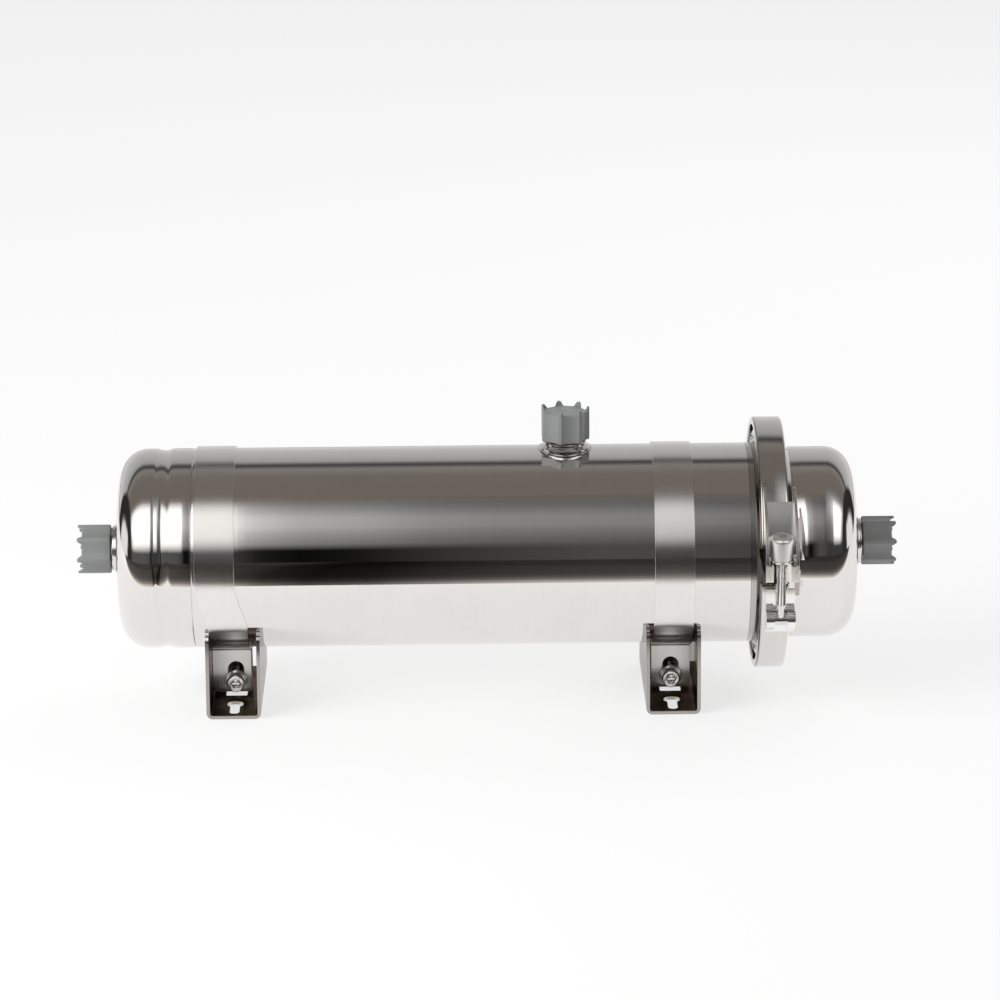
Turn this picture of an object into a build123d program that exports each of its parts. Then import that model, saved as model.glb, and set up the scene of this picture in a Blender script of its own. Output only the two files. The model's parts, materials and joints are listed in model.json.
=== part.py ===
from build123d import *
import math
import os

# Stainless in-line ultrafiltration filter on two strap-on feet, in millimetres.
# X runs along the tube with the removable end at +X, -Y is the front and Z is up.
# Each piece is drawn about the tube's axis and is lifted by axis_height when it is written.
axis_height = 87.0
foot_spacing = 246.0

# Shell tube and heads
tube_od = 112.4
tube_wall = 1.5
head_seam_x = -144.5
clamp_x = 177.2
end_cap_step = 2.5
fixed_skirt = 25.2
cap_skirt = 19.6
dome_depth = 19.0
knuckle_radius = 16.5
groove_depth = 0.8
groove_width = 6.0
groove_from_seam = 16.0
barrel_bulge = 0.22
seam_chamfer = 0.5

# Port stubs: G1/2 male threads, bored through, with a welded collar
port_thread_od = 20.955
port_bore = 15.0
port_neck_od = 20.0
port_fit = 0.05
port_reach_inside = 2.5
thread_relief = 0.4
end_collar_od = 25.6
end_collar_height = 2.4
end_base_od = 26.4
end_base_height = 0.5
end_base_slope = 0.9
top_collar_od = 24.0
top_collar_height = 4.4
top_base_od = 28.4
top_base_height = 1.2
top_base_slope = 2.7
top_port_x = 63.7
collar_break = 0.5
bead_size = 1.0

# Screwed protective caps
cap_od = 27.7
cap_body_length = 16.2
cap_length = 18.8
cap_gap = 0.6
cap_bore_clearance = 0.17
cap_bore_depth = 13.2
cap_rib_count = 7
cap_scallop_radius = 12.0
cap_scallop_bottom = 11.7
cap_tip_bevel = 0.9
cap_end_bevel = 0.5
cap_end_radius = 12.6
cap_end_plate = 1.8
cap_rim_bevel = 0.7
disc_thickness = 1.6
disc_clearance = 0.35

# Flanged joint closed by the clamp
gasket_thickness = 2.0
gasket_lap = 0.9
flange_step = 8.8
flange_rim = 3.2
flange_angle = 20.0
flange_root_step = 2.3
ferrule_length = 12.2
seat_depth = 3.1
seat_step = 1.9
seat_clearance = 0.2

# Clamp band, retainers and latch
band_rise = 5.7
band_thickness = 1.0
band_width = 16.0
band_shoulder = 1.5
band_inner_corner = 0.9
band_lip = 4.2
gap_above = 13.5
gap_below = 3.0
retainer_thickness = 1.6
retainer_tip_gap = 2.0
retainer_clearance = 0.15
retainer_count = 3
retainer_spacing = 5.0
retainer_roof_gap = 0.05
latch_shift = 3.0
latch_sheet = 1.5
latch_width = 18.0
saddle_top = 34.0
saddle_bottom = 10.5
leaf_top = 41.5
leaf_height = 8.5
fork_slot = 9.6
fork_lip_height = 10.0
fork_lip_reach = 6.6
latch_gap = 0.3
lower_saddle_top = -5.0
lower_saddle_bottom = -27.0
tee_angle = -17.5
tee_diameter = 6.4
tee_clearance = 0.1
loop_wall = 1.3
loop_slot = 7.0
bolt_tilt = 9.5
bolt_diameter = 5.0
bolt_to_seat = 36.2
bolt_end_in_nut = 10.2
washer_od = 13.0
washer_thickness = 1.2
nut_diameter = 12.2
nut_length = 13.5
nut_dome = 2.2
nut_socket = 5.2
nut_socket_depth = 3.0
running_fit = 0.06

# Feet, straps and their screws
foot_width = 30.5
foot_depth = 90.0
foot_sheet = 2.0
foot_bend = 3.5
ear_height = 48.0
ear_inset = 2.0
ear_round = 4.0
saddle_clearance = 0.1
key_round = 10.0
key_slot = 5.5
key_inset = 21.0
key_slot_end = 4.0
window_width = 12.0
window_front = -9.0
window_round = 1.0
lug_front = 8.3
lug_top = 19.0
screw_height = 11.0
strap_width = 22.0
strap_thickness = 1.0
strap_clearance = 0.05
left_strap_offset = 2.2
left_strap_lean = 6.3
lean_top = -3.0
lean_bottom = -38.0
ear_half_gap = 7.0
ear_bottom = 4.0
ear_slot_width = 9.0
ear_slot_top = 22.0
strap_bend = 2.5
screw_diameter = 6.0
screw_hole = 6.6
screw_length = 30.0
screw_head_od = 10.0
screw_head_height = 6.0
screw_socket = 5.0
screw_washer_od = 12.5
screw_washer = 1.6
screw_nut_flats = 10.0
screw_nut_height = 5.0

# Membrane cartridge
cartridge_clearance = 0.2
end_ring_length = 28.0
sleeve_space = 4.0
sleeve_wall = 1.5
sleeve_slot_length = 46.0
sleeve_slot_width = 18.0
sleeve_slots_around = 4
sleeve_slots_along = 4
fibre_space = 1.0
fibre_lobe_radius = 8.0
fibre_lobes = 10
potting_length = 24.0
ring_section = 2.8
ring_groove_width = 3.6
ring_clearance = 0.05

# Sizes worked out from the ones above
tube_radius = tube_od / 2
bore_radius = tube_radius - tube_wall
cap_radius = tube_radius - end_cap_step
cap_bore_radius = cap_radius - tube_wall
seat_radius = bore_radius + seat_step
flange_radius = tube_radius + flange_step
flange_root_radius = tube_radius + flange_root_step
gasket_inner_radius = bore_radius - gasket_lap
retainer_tip_radius = flange_root_radius + retainer_tip_gap
shell_end_x = clamp_x - ferrule_length
cap_skirt_x = clamp_x + ferrule_length
fixed_knuckle_x = head_seam_x - fixed_skirt
cap_knuckle_x = cap_skirt_x + cap_skirt
fixed_apex_x = fixed_knuckle_x - dome_depth
cap_apex_x = cap_knuckle_x + dome_depth
band_radius = flange_radius + band_rise
band_inner_radius = band_radius - band_thickness
floor_z = -axis_height
latch_x = clamp_x + latch_shift
loop_radius = tee_diameter / 2 + tee_clearance + loop_wall
tee_reach = band_radius + latch_sheet + loop_radius
thread_radius = port_thread_od / 2
thread_length = cap_gap + cap_bore_depth - disc_thickness
sleeve_radius = bore_radius - sleeve_space
fibre_radius = sleeve_radius - sleeve_wall - fibre_space - fibre_lobe_radius

# Where a cylinder's base lies: on its origin, or its top there
upwards = (Align.CENTER, Align.CENTER, Align.MIN)
downwards = (Align.CENTER, Align.CENTER, Align.MAX)


def turned(points_and_arcs):
    """Spin a closed outline, drawn with X along and Y outwards, about the tube's axis."""
    return revolve(make_face(points_and_arcs), Axis.X, 360)


def front_angle_point(radius, degrees):
    """Point (y, z) at a radius and an angle that counts up from straight in front."""
    turn = math.radians(degrees)
    return (-radius * math.cos(turn), radius * math.sin(turn))


def dome_edges(knuckle_x, side, radius, depth, knuckle, hole_radius):
    """Knuckle and crown arcs of a dished head, from the skirt to the hole at its middle."""
    centre_radius = radius - knuckle
    rise = depth - knuckle
    crown_back = (centre_radius ** 2 - rise ** 2) / (2 * rise)
    crown_radius = depth + crown_back
    tangent_angle = math.atan2(centre_radius, crown_back)
    hole_angle = math.asin(hole_radius / crown_radius)

    def on_knuckle(angle):
        return (knuckle_x + side * knuckle * math.cos(angle), centre_radius + knuckle * math.sin(angle))

    def on_crown(angle):
        reach = crown_radius * math.cos(angle) - crown_back
        return (knuckle_x + side * reach, crown_radius * math.sin(angle))

    knuckle_arc = ThreePointArc(
        on_knuckle(math.pi / 2), on_knuckle((math.pi / 2 + tangent_angle) / 2), on_knuckle(tangent_angle)
    )
    crown_arc = ThreePointArc(
        on_crown(tangent_angle), on_crown((tangent_angle + hole_angle) / 2), on_crown(hole_angle)
    )
    return [knuckle_arc, crown_arc], on_crown(hole_angle)


# Heads
def head(start_x, knuckle_x, side, radius, outer_skirt, inner_skirt):
    """Dished head between the two given skirt edges and the hole of its port."""
    hole_radius = port_neck_od / 2 + port_fit
    inner = radius - tube_wall
    outer_arcs, outer_end = dome_edges(knuckle_x, side, radius, dome_depth, knuckle_radius, hole_radius)
    inner_arcs, inner_end = dome_edges(
        knuckle_x, side, inner, dome_depth - tube_wall, knuckle_radius - tube_wall, hole_radius
    )
    outline = outer_skirt + outer_arcs + [Line(outer_end, inner_end)] + inner_arcs + inner_skirt
    outline += [Line((start_x, inner), (start_x, radius))]
    return turned(outline)


def barrel(start_x, end_x, radius, bulge):
    """Line along the skirt, bowed out by the bulge."""
    if bulge == 0:
        return Line((start_x, radius), (end_x, radius))
    return ThreePointArc((start_x, radius), ((start_x + end_x) / 2, radius + bulge), (end_x, radius))


def fixed_skirt_edges(radius, bulge):
    """Two bands with the rolled groove between them."""
    groove_x = head_seam_x - groove_from_seam
    near = groove_x + groove_width / 2
    far = groove_x - groove_width / 2
    return [
        barrel(head_seam_x, near, radius, bulge),
        ThreePointArc((near, radius), (groove_x, radius - groove_depth), (far, radius)),
        barrel(far, fixed_knuckle_x, radius, bulge / 2),
    ]


def fixed_end_head():
    return head(
        head_seam_x, fixed_knuckle_x, -1, tube_radius,
        fixed_skirt_edges(tube_radius, barrel_bulge), fixed_skirt_edges(bore_radius, 0),
    )


def end_cap_dome():
    outer_skirt = [Line((cap_skirt_x, cap_radius), (cap_knuckle_x, cap_radius))]
    inner_skirt = [Line((cap_skirt_x, cap_bore_radius), (cap_knuckle_x, cap_bore_radius))]
    return head(cap_skirt_x, cap_knuckle_x, 1, cap_radius, outer_skirt, inner_skirt)


def shell_tube():
    """Rolled tube with a broken edge at the head seam and the hole of the top port."""
    outline = Polyline(
        (head_seam_x, bore_radius),
        (head_seam_x, tube_radius - seam_chamfer),
        (head_seam_x + seam_chamfer * 2, tube_radius),
        (shell_end_x, tube_radius),
        (shell_end_x, bore_radius),
        close=True,
    )
    hole = Pos(top_port_x, 0, tube_radius) * Cylinder(port_neck_od / 2 + port_fit, tube_radius)
    return turned(outline) - hole


# Ports and their caps
def filled_head(knuckle_x, side):
    """Solid plug with a head's outer shape, used to cut the collar that is welded to it."""
    radius = cap_radius if side > 0 else tube_radius
    arcs, apex = dome_edges(knuckle_x, side, radius, dome_depth, knuckle_radius, 0)
    back_x = knuckle_x - side * dome_depth
    outline = arcs + [Polyline(apex, (back_x, 0), (back_x, radius), (knuckle_x, radius))]
    return turned(outline)


def spun(*radius_height):
    """Spin an outline of (radius, height) points about Z."""
    points = [(radius, 0, height) for radius, height in radius_height]
    return revolve(make_face(Polyline(*points, close=True)), Axis.Z, 360)


def port_stub(collar_od, collar_height, base_od, base_height, slope_height, place, carrier, grown_carrier):
    """Bored and threaded stub, with a collar cut to sit on the shell and a weld bead round it."""
    sunk = -knuckle_radius
    collar = spun(
        (port_bore / 2, sunk),
        (base_od / 2, sunk),
        (base_od / 2, base_height),
        (collar_od / 2, slope_height),
        (collar_od / 2, collar_height - collar_break),
        (collar_od / 2 - collar_break, collar_height),
        (port_bore / 2, collar_height),
    )
    bead = spun(
        (port_neck_od / 2, sunk),
        (base_od / 2 + bead_size, sunk),
        (base_od / 2 + bead_size, collar_height),
        (port_neck_od / 2, collar_height),
    )
    thread_start = collar_height + thread_relief
    thread_end = collar_height + thread_length
    neck = spun(
        (port_bore / 2, -tube_wall - port_reach_inside),
        (port_neck_od / 2, -tube_wall - port_reach_inside),
        (port_neck_od / 2, thread_start),
        (thread_radius, thread_start + collar_break),
        (thread_radius, thread_end - collar_break * 2),
        (thread_radius - collar_break * 2, thread_end),
        (port_bore / 2, thread_end),
    )
    on_surface = (place * bead) & (grown_carrier - carrier)
    return (place * collar - carrier) + on_surface + place * neck


def end_port(side):
    knuckle_x = cap_knuckle_x if side > 0 else fixed_knuckle_x
    carrier = filled_head(knuckle_x, side)
    return port_stub(
        end_collar_od, end_collar_height, end_base_od, end_base_height, end_base_slope,
        end_place(side), carrier, Pos(side * bead_size, 0, 0) * carrier,
    )


def top_port():
    across = Rot(0, 90, 0)
    length = 2 * top_base_od
    carrier = Pos(top_port_x, 0, 0) * across * Cylinder(tube_radius, length)
    grown = Pos(top_port_x, 0, 0) * across * Cylinder(tube_radius + bead_size, length)
    return port_stub(
        top_collar_od, top_collar_height, top_base_od, top_base_height, top_base_slope,
        top_place(), carrier, grown,
    )


def end_place(side):
    apex_x = cap_apex_x if side > 0 else fixed_apex_x
    return Location((apex_x, 0, 0), (0, side * 90, 0))


def top_place():
    return Location((top_port_x, 0, tube_radius), (0, 0, 0))


def port_cap():
    """Screw cap with its open rim at z=0: ribs between hollow faces stand proud of a round end plate."""
    body = Cylinder(cap_od / 2, cap_length, align=upwards)
    body = chamfer(body.edges().sort_by(Axis.Z)[-1], cap_tip_bevel)
    body = chamfer(body.edges().sort_by(Axis.Z)[0], cap_rim_bevel)
    body -= Pos(0, 0, cap_body_length + cap_length / 2) * Cylinder(cap_end_radius, cap_length)
    hollow = Cylinder(cap_scallop_radius, 3 * cap_length)
    hollow = Pos(cap_scallop_bottom + cap_scallop_radius, 0, 0) * hollow
    for rib in range(cap_rib_count):
        body -= Rot(0, 0, (rib + 0.5) * 360 / cap_rib_count) * hollow
    body += spun(
        (0, cap_body_length - cap_end_plate),
        (cap_end_radius, cap_body_length - cap_end_plate),
        (cap_end_radius, cap_body_length - cap_end_bevel),
        (cap_end_radius - cap_end_bevel, cap_body_length),
        (0, cap_body_length),
    )
    bore = thread_radius + cap_bore_clearance
    return body - Cylinder(bore, 2 * cap_bore_depth)


def sealing_disc():
    """Flat disc between the cap's end and the mouth of the port."""
    disc = Cylinder(thread_radius - disc_clearance, disc_thickness, align=downwards)
    return Pos(0, 0, cap_bore_depth) * disc


# Flanged joint: drawn for the side at +X of the joint's middle and mirrored for the other
def ferrule(side):
    """V flange with its welding neck; the shell's also has the seat of the cartridge."""
    face = gasket_thickness / 2
    slope = math.tan(math.radians(flange_angle))
    neck_radius = cap_radius if side > 0 else tube_radius
    bore = neck_radius - tube_wall
    root_offset = face + flange_rim + (flange_radius - flange_root_radius) * slope

    def at(offset, radius):
        return (clamp_x + side * offset, radius)

    points = [
        at(face, flange_radius),
        at(face + flange_rim, flange_radius),
        at(root_offset, flange_root_radius),
        at(root_offset + (flange_root_radius - neck_radius), neck_radius),
        at(ferrule_length, neck_radius),
        at(ferrule_length, bore),
    ]
    if side > 0:
        points += [at(face + seat_depth, bore), at(face, bore + 2 * seat_clearance)]
    else:
        seat = seat_radius + seat_clearance
        points += [at(face + seat_depth, bore), at(face + seat_depth, seat), at(face, seat)]
    return turned(Polyline(*points, close=True))


def flange_gasket():
    half = gasket_thickness / 2
    outer = flange_radius - flange_rim / 2
    return turned(
        Polyline(
            (clamp_x - half, gasket_inner_radius),
            (clamp_x + half, gasket_inner_radius),
            (clamp_x + half, outer),
            (clamp_x - half, outer),
            close=True,
        )
    )


def swept_round(outline, from_front, to_front):
    """Spin an outline through the angles, counted up from straight in front, that it covers."""
    start = Rot(180 - to_front, 0, 0)
    return start * revolve(make_face(outline), Axis.X, to_front - from_front)


def clamp_band():
    """Outer band: a shallow channel with rounded shoulders, open at the latch."""
    half = band_width / 2
    flat = half - band_shoulder
    lip_end = band_radius - band_lip
    inner_half = half - band_thickness
    inner_flat = inner_half - band_inner_corner
    bend = band_shoulder * (1 - math.sqrt(0.5))
    outline = []
    for side in (-1, 1):
        outline += [
            ThreePointArc(
                (clamp_x + side * flat, band_radius),
                (clamp_x + side * (half - bend), band_radius - bend),
                (clamp_x + side * half, band_radius - band_shoulder),
            ),
            Polyline(
                (clamp_x + side * half, band_radius - band_shoulder),
                (clamp_x + side * half, lip_end),
                (clamp_x + side * inner_half, lip_end),
                (clamp_x + side * inner_half, band_inner_radius - band_inner_corner),
                (clamp_x + side * inner_flat, band_inner_radius),
            ),
        ]
    outline.append(Line((clamp_x - flat, band_radius), (clamp_x + flat, band_radius)))
    outline.append(Line((clamp_x - inner_flat, band_inner_radius), (clamp_x + inner_flat, band_inner_radius)))
    return swept_round(outline, gap_above, 360 - gap_below)


def clamp_retainer(index):
    """One of the V segments that the band pulls in over the two flanges."""
    slope = math.tan(math.radians(flange_angle))
    rim_offset = gasket_thickness / 2 + flange_rim + retainer_clearance
    wall = retainer_thickness / math.cos(math.radians(flange_angle))
    roof = band_inner_radius - retainer_roof_gap
    ceiling = roof - retainer_thickness

    def inner_offset(radius):
        return rim_offset + (flange_radius - radius) * slope

    tip = retainer_tip_radius
    right = [
        (clamp_x + inner_offset(ceiling), ceiling),
        (clamp_x + inner_offset(tip), tip),
        (clamp_x + inner_offset(tip) + wall, tip),
        (clamp_x + inner_offset(roof) + wall, roof),
    ]
    left = [(2 * clamp_x - x, radius) for x, radius in reversed(right)]
    outline = Polyline(*right, *left, close=True)
    span = (360 - gap_below - gap_above - (retainer_count + 1) * retainer_spacing) / retainer_count
    start = gap_above + retainer_spacing + index * (span + retainer_spacing)
    return swept_round(outline, start, start + span)


# Latch: pieces on the bolt are drawn from the cross pin's axis, with Z along the bolt
def latch_place():
    y, z = front_angle_point(tee_reach, tee_angle)
    return Location((latch_x, y, z), (bolt_tilt, 0, 0))


def latch_point(y_out, along):
    """A point given on the bolt's own axes, as (y, z) about the tube's axis."""
    point = (latch_place() * Pos(0, y_out, along)).position
    return (point.Y, point.Z)


def across(sketch, width):
    """Thicken an outline drawn in the (y, z) plane to a width centred on the latch."""
    return Pos(latch_x, 0, 0) * extrude(Plane.YZ * sketch, width / 2, both=True)


def band_sector(inner, outer, from_front, to_front):
    """Piece of a ring in the (y, z) plane between two angles counted up from the front."""
    corners = [front_angle_point(radius, angle) for radius, angle in (
        (inner, from_front), (outer, from_front), (outer, to_front), (inner, to_front)
    )]
    middle = (from_front + to_front) / 2
    return make_face([
        Line(corners[0], corners[1]),
        ThreePointArc(corners[1], front_angle_point(outer, middle), corners[2]),
        Line(corners[2], corners[3]),
        ThreePointArc(corners[3], front_angle_point(inner, middle), corners[0]),
    ])


def upper_latch_bracket():
    """Folded saddle with two leaf-shaped walls and a slotted fork that takes the nut's pull."""
    saddle_radius = band_radius + latch_sheet
    seat = bolt_to_seat - latch_gap
    saddle = across(band_sector(band_radius, saddle_radius, saddle_bottom, saddle_top), latch_width)

    pin_y, pin_z = front_angle_point(tee_reach, tee_angle)
    arch = Pos(pin_y, pin_z) * (Circle(seat) - Circle(seat - latch_sheet))
    corner = latch_point(-fork_lip_reach, seat)
    keep = make_face(Polyline(
        latch_point(-fork_lip_reach, 0),
        latch_point(-fork_lip_reach, 2 * seat),
        latch_point(fork_lip_reach + latch_sheet, 2 * seat),
        latch_point(fork_lip_reach + latch_sheet, 0),
        close=True,
    ))
    lip = make_face(Polyline(
        latch_point(-fork_lip_reach, seat - fork_lip_height),
        latch_point(-fork_lip_reach, seat - latch_sheet / 2),
        latch_point(-fork_lip_reach + latch_sheet, seat - latch_sheet / 2),
        latch_point(-fork_lip_reach + latch_sheet, seat - fork_lip_height),
        close=True,
    ))
    fork = across((arch & keep) + lip - Circle(band_radius), latch_width)

    leaf_start = front_angle_point(band_radius, leaf_top)
    leaf_end = front_angle_point(band_radius, saddle_bottom)
    leaf_middle = (leaf_top + saddle_bottom) / 2
    lip_end = latch_point(-fork_lip_reach, seat - fork_lip_height)
    lip_inside = latch_point(-fork_lip_reach + latch_sheet * 2, seat - fork_lip_height)
    leaf = make_face([
        ThreePointArc(leaf_start, front_angle_point(saddle_radius + leaf_height, leaf_middle), corner),
        Line(corner, lip_end),
        Line(lip_end, lip_inside),
        Line(lip_inside, leaf_end),
        ThreePointArc(leaf_end, front_angle_point(band_radius, leaf_middle), leaf_start),
    ])
    walls = across(leaf, latch_width) - across(leaf, latch_width - 2 * latch_sheet)
    slot_end = bolt_diameter / 2 + (fork_slot - bolt_diameter) / 2
    slot = latch_place() * Pos(0, slot_end, 0) * Box(
        fork_slot, 4 * fork_lip_reach, 4 * seat, align=(Align.CENTER, Align.MAX, Align.CENTER)
    )
    return saddle + walls + (fork - slot)


def lower_latch_bracket():
    """Saddle whose end is rolled round the cross pin in two loops."""
    pin_y, pin_z = front_angle_point(tee_reach, tee_angle)
    saddle = across(
        band_sector(band_radius, band_radius + latch_sheet, lower_saddle_bottom, lower_saddle_top), band_width
    )
    heel = front_angle_point(band_radius + latch_sheet / 2, lower_saddle_bottom)
    distance = math.dist((pin_y, pin_z), heel)
    facing = math.atan2(heel[1] - pin_z, heel[0] - pin_y)
    tangent = facing - math.acos(loop_radius / distance)
    other = facing + math.acos(loop_radius / distance)
    touches = [
        (pin_y + loop_radius * math.cos(angle), pin_z + loop_radius * math.sin(angle))
        for angle in (tangent, other)
    ]
    web = make_face(Polyline(heel, touches[0], (pin_y, pin_z), touches[1], close=True))
    loop = Pos(pin_y, pin_z) * Circle(loop_radius)
    bore = Pos(pin_y, pin_z) * Circle(tee_diameter / 2 + tee_clearance)
    ears = across(web + loop - bore, band_width) - across(web + loop, loop_slot)
    inside = Pos(clamp_x, 0, 0) * Rot(0, 90, 0) * Cylinder(band_radius, 4 * band_width)
    return saddle + (ears - inside)


def tee_bolt():
    """Bolt whose head is a cross pin that turns in the loops."""
    length = bolt_to_seat + washer_thickness + bolt_end_in_nut
    shank = Cylinder(bolt_diameter / 2, length, align=upwards)
    shank = chamfer(shank.edges().sort_by(Axis.Z)[-1], collar_break)
    pin = Rot(0, 90, 0) * Cylinder(tee_diameter / 2, band_width)
    pin = chamfer(pin.edges().filter_by(GeomType.CIRCLE), collar_break)
    return latch_place() * (shank + pin)


def latch_washer():
    washer = spun(
        (bolt_diameter / 2 + running_fit, bolt_to_seat),
        (washer_od / 2, bolt_to_seat),
        (washer_od / 2, bolt_to_seat + washer_thickness),
        (bolt_diameter / 2 + running_fit, bolt_to_seat + washer_thickness),
    )
    return latch_place() * washer


def latch_nut():
    """Long barrel nut with a domed end and a hexagon socket."""
    base = bolt_to_seat + washer_thickness
    body = Pos(0, 0, base) * Cylinder(nut_diameter / 2, nut_length, align=upwards)
    body = fillet(body.edges().sort_by(Axis.Z)[-1], nut_dome)
    body -= Pos(0, 0, base) * Cylinder(bolt_diameter / 2 + running_fit, 2 * nut_length)
    socket = extrude(RegularPolygon(nut_socket / math.sqrt(3), 6), nut_socket_depth)
    body -= Pos(0, 0, base + nut_length - nut_socket_depth) * socket
    return latch_place() * body


# Feet and straps
def foot(side):
    """Folded channel that cradles the tube, with keyholes and a lug pierced for the strap screw."""
    foot_x = side * foot_spacing / 2
    half_width = foot_width / 2
    half_depth = foot_depth / 2
    top = floor_z + ear_height
    outer = RectangleRounded(foot_width, 2 * ear_height, foot_bend)
    inner = RectangleRounded(
        foot_width - 2 * foot_sheet, 2 * ear_height - 2 * foot_sheet, foot_bend - foot_sheet
    )
    section = Pos(foot_x, floor_z + ear_height) * (outer - inner)
    channel = extrude(Plane.XZ * section, half_depth, both=True)
    outline = make_face(Polyline(
        (-half_depth, floor_z),
        (half_depth, floor_z),
        (half_depth - ear_inset, top),
        (-half_depth + ear_inset, top),
        close=True,
    ))
    outline = fillet(outline.vertices().group_by(Axis.Y)[-1], ear_round)
    outline -= Circle(tube_radius + saddle_clearance)
    body = channel & (Pos(foot_x, 0, 0) * extrude(Plane.YZ * outline, half_width, both=True))

    lug = Plane.XZ * (Pos(foot_x, floor_z + lug_top / 2) * RectangleRounded(window_width, lug_top, foot_bend))
    lug = extrude(lug, foot_sheet / 2, both=True)
    lug = Pos(0, lug_front + foot_sheet / 2, 0) * lug
    drill = Rot(90, 0, 0) * Cylinder(screw_hole / 2, 4 * foot_sheet)
    lug -= Pos(foot_x, lug_front, floor_z + screw_height) * drill

    window = RectangleRounded(window_width, lug_front - window_front, window_round)
    openings = Pos(foot_x, (lug_front + window_front) / 2) * window
    for end in (-1, 1):
        round_y = end * (half_depth - key_inset)
        slot_y = end * (half_depth - key_slot_end - key_slot / 2)
        openings += Pos(foot_x, round_y) * Circle(key_round / 2)
        openings += Pos(foot_x, slot_y) * Circle(key_slot / 2)
        openings += Pos(foot_x, (round_y + slot_y) / 2) * Rectangle(key_slot, abs(slot_y - round_y))
    cut = Pos(0, 0, floor_z - foot_sheet) * extrude(openings, 3 * foot_sheet)
    return (body - cut) + lug


def leaning_outline(middle_x):
    """Front view of the left strap, which leans away from its foot to lie beside the head seam."""
    half = strap_width / 2
    top = tube_od
    edges = []
    for edge_x in (middle_x - half, middle_x + half):
        leaned_x = edge_x - left_strap_lean
        edges.append([(leaned_x, top), (leaned_x, lean_top), (edge_x, lean_bottom), (edge_x, -top)])
    left, right = edges
    outline = [Line(left[0], right[0]), Line(left[3], right[3])]
    for points in edges:
        outline.append(Line(points[0], points[1]))
        outline.append(Spline(points[1], points[2], tangents=[(0, -1), (0, -1)]))
        outline.append(Line(points[2], points[3]))
    return make_face(outline)


def strap(side):
    """Band round the tube whose ends are bent down and slotted for the clamping screw."""
    foot_x = side * foot_spacing / 2
    inner = tube_radius + strap_clearance
    outer = inner + strap_thickness
    ear_end = floor_z + ear_bottom
    leg_top = -math.sqrt(inner ** 2 - ear_half_gap ** 2)
    outline = Circle(outer) - Circle(inner)
    outline -= Pos(0, -inner) * Rectangle(2 * ear_half_gap, 2 * ear_half_gap)
    for end in (-1, 1):
        leg = Rectangle(strap_thickness, leg_top - ear_end)
        outline += Pos(end * (ear_half_gap + strap_thickness / 2), (leg_top + ear_end) / 2) * leg
    leg_face = ear_half_gap + strap_thickness
    bend_z = -math.sqrt(outer ** 2 - leg_face ** 2)
    corners = [
        corner for corner in outline.vertices()
        if abs(abs(corner.X) - leg_face) < 0.01 and abs(corner.Y - bend_z) < 0.01
    ]
    outline = fillet(corners, strap_bend)
    if side > 0:
        band = Pos(foot_x, 0, 0) * extrude(Plane.YZ * outline, strap_width / 2, both=True)
    else:
        middle_x = foot_x - left_strap_offset
        band = Pos(middle_x, 0, 0) * extrude(Plane.YZ * outline, strap_width, both=True)
        band &= extrude(Plane.XZ * leaning_outline(middle_x), tube_od, both=True)
    slot_rise = ear_slot_top - ear_slot_width / 2 - screw_height
    slot = SlotCenterToCenter(slot_rise, ear_slot_width, 90)
    slot = Plane.XZ * (Pos(foot_x, floor_z + screw_height + slot_rise / 2) * slot)
    return band - extrude(slot, 2 * ear_half_gap, both=True)


def screw_place(side):
    """Origin under the screw's head, with Z towards the head, in front."""
    y = -ear_half_gap - strap_thickness - screw_washer
    return Location((side * foot_spacing / 2, y, floor_z + screw_height), (90, 0, 0))


def strap_screw(side):
    shank = Cylinder(screw_diameter / 2, screw_length, align=downwards)
    shank = chamfer(shank.edges().sort_by(Axis.Z)[0], collar_break)
    head = Cylinder(screw_head_od / 2, screw_head_height, align=upwards)
    head = chamfer(head.edges().sort_by(Axis.Z)[-1], collar_break)
    socket = extrude(RegularPolygon(screw_socket / math.sqrt(3), 6), screw_head_height / 2)
    head -= Pos(0, 0, screw_head_height / 2) * socket
    return screw_place(side) * (head + shank)


def washer_ring():
    return spun(
        (screw_hole / 2, 0),
        (screw_washer_od / 2, 0),
        (screw_washer_od / 2, screw_washer),
        (screw_hole / 2, screw_washer),
    )


def nut_face():
    """Distance from under the screw's head back to the face of the lug that the nut pulls on."""
    front = -ear_half_gap - strap_thickness - screw_washer
    return lug_front + foot_sheet - front


def strap_washers(side):
    """One washer under the screw's head and one under its nut."""
    front = Pos(0, 0, -screw_washer) * washer_ring()
    back = Pos(0, 0, -nut_face() - screw_washer) * washer_ring()
    return Compound(children=[screw_place(side) * front, screw_place(side) * back])


def strap_nut(side):
    nut = extrude(RegularPolygon(screw_nut_flats / math.sqrt(3), 6), screw_nut_height)
    nut -= Cylinder(screw_diameter / 2 + running_fit, 4 * screw_nut_height)
    return screw_place(side) * Pos(0, 0, -nut_face() - screw_washer - screw_nut_height) * nut


# Membrane cartridge
def end_ring_outline(outer_x, inward, flange):
    """Moulded ring with a groove for its seal; the removable end's ring also has a flange."""
    outer = bore_radius - cartridge_clearance
    inner = sleeve_radius
    groove_bottom = bore_radius - ring_clearance - ring_section
    groove_near = outer_x + inward * (end_ring_length - ring_groove_width) / 2
    groove_far = groove_near + inward * ring_groove_width
    inner_x = outer_x + inward * end_ring_length
    points = [(outer_x, inner), (inner_x, inner), (inner_x, outer), (groove_far, outer)]
    points += [(groove_far, groove_bottom), (groove_near, groove_bottom), (groove_near, outer)]
    if flange:
        flange_end = outer_x + inward * (seat_depth - seat_clearance)
        points += [(flange_end, outer), (flange_end, seat_radius), (outer_x, seat_radius)]
    else:
        points += [(outer_x, outer)]
    return Polyline(*points, close=True)


def cartridge_ends():
    """Outer faces of the cartridge: against the rolled groove, and in the shell ferrule's seat."""
    left = head_seam_x - groove_from_seam + groove_width / 2
    right = clamp_x - gasket_thickness / 2
    return left, right


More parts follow.
